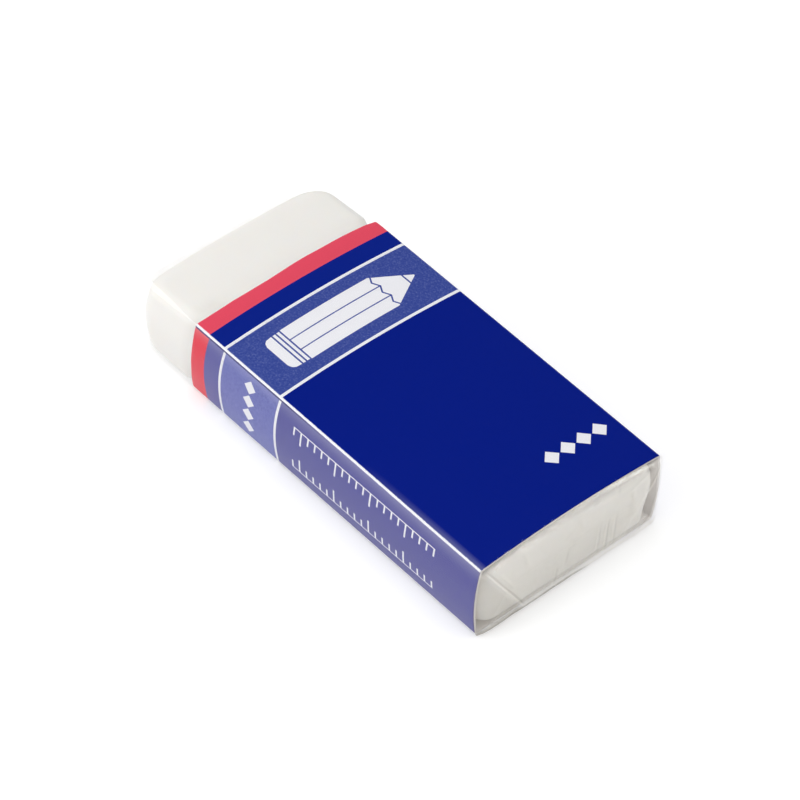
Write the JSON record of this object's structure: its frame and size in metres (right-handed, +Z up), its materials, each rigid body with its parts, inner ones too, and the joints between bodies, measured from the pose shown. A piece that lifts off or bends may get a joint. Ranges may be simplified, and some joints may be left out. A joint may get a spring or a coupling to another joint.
{
  "type": "rubber eraser",
  "caption": "New rubber eraser for pencil: a soft white block held in a printed card sleeve and sealed in clear film whose ends are closed by envelope folds",
  "frame": {"origin": "under the middle of the pack, on the face it lies on", "axes": "+X along the block towards the end that the sleeve covers, +Y across it, +Z up out of the printed front panel"},
  "size_m": [0.0514, 0.0242, 0.0099],
  "materials": {
    "rubber": "matte white rubber",
    "card": "coated card printed in bands of red and blue with thin white lines between them",
    "film": "thin clear glossy film"
  },
  "bodies": {
    "root": {"rubber_block": "rubber", "card_sleeve": "card", "film_wrap": "film"}
  },
  "joints": []
}
